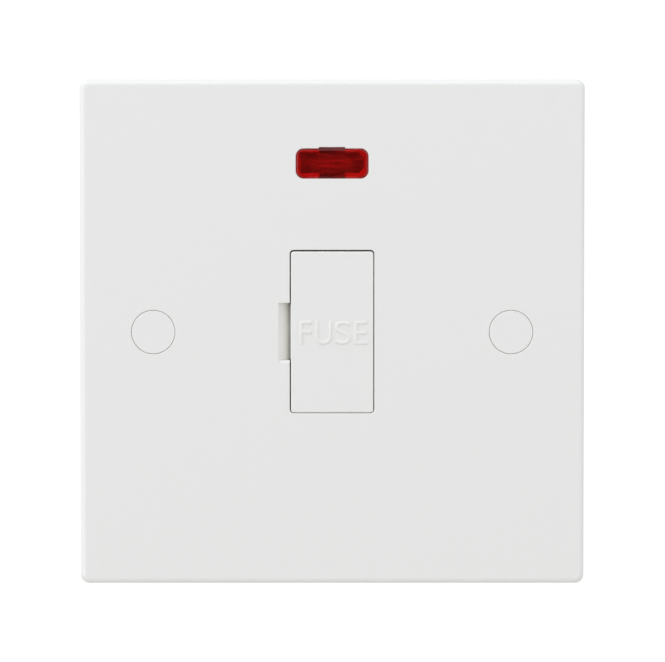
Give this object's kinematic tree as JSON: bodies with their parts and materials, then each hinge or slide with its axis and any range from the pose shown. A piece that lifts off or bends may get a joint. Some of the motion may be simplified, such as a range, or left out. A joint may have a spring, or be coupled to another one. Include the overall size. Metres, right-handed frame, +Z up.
{
  "type": "fused spur unit",
  "caption": "Square white wall plate with a pull-out fuse carrier, a red neon window and capped fixing screws, and pillar terminals behind that feed a fixed appliance.",
  "frame": {"origin": "middle of the wall plane, half way between the two fixing screws", "axes": "+X to the right seen from the room, +Y into the wall along the fixing screws, +Z up"},
  "size_m": [0.0852, 0.0302, 0.0852],
  "materials": {
    "urea_white": "moulded gloss",
    "base_white": "moulded satin",
    "lens_red": "clear gloss",
    "fuse_ceramic": "glazed",
    "fuse_metal": "plated",
    "contact_bronze": "rolled",
    "terminal_brass": "machined",
    "screw_steel": "plated",
    "lamp_glass": "clear",
    "resistor_body": "lacquered",
    "lead_insulation": "sleeved"
  },
  "bodies": {
    "unit": {"faceplate": "urea_white", "base": "base_white", "rear_cover": "base_white", "neon_lens": "lens_red", "supply_live_contact": "contact_bronze", "load_live_contact": "contact_bronze", "neutral_link": "contact_bronze", "earth_strap": "contact_bronze", "supply_live_terminal": "terminal_brass", "supply_neutral_terminal": "terminal_brass", "supply_earth_terminal": "terminal_brass", "load_live_terminal": "terminal_brass", "load_neutral_terminal": "terminal_brass", "load_earth_terminal": "terminal_brass", "terminal_screws": "screw_steel", "housing_screws": "screw_steel", "fixing_screws": "screw_steel", "neon_lamp": "lamp_glass", "neon_resistor": "resistor_body", "neon_link_wire": "lead_insulation", "neon_live_lead": "lead_insulation", "neon_neutral_lead": "lead_insulation"},
    "carrier": {"fuse_carrier": "urea_white", "fuse_barrel": "fuse_ceramic", "fuse_end_cap_upper": "fuse_metal", "fuse_end_cap_lower": "fuse_metal"},
    "left_cap": {"screw_cap_left": "urea_white"},
    "right_cap": {"screw_cap_right": "urea_white"}
  },
  "joints": [
    {"name": "carrier_slide", "type": "slide", "parent": "unit", "child": "carrier", "axis": [0, -1, 0], "range_m": [0, 0.0122]},
    {"name": "left_cap_slide", "type": "slide", "parent": "unit", "child": "left_cap", "axis": [0, -1, 0], "range_m": [0, 0.006]},
    {"name": "right_cap_slide", "type": "slide", "parent": "unit", "child": "right_cap", "axis": [0, -1, 0], "range_m": [0, 0.006]}
  ]
}
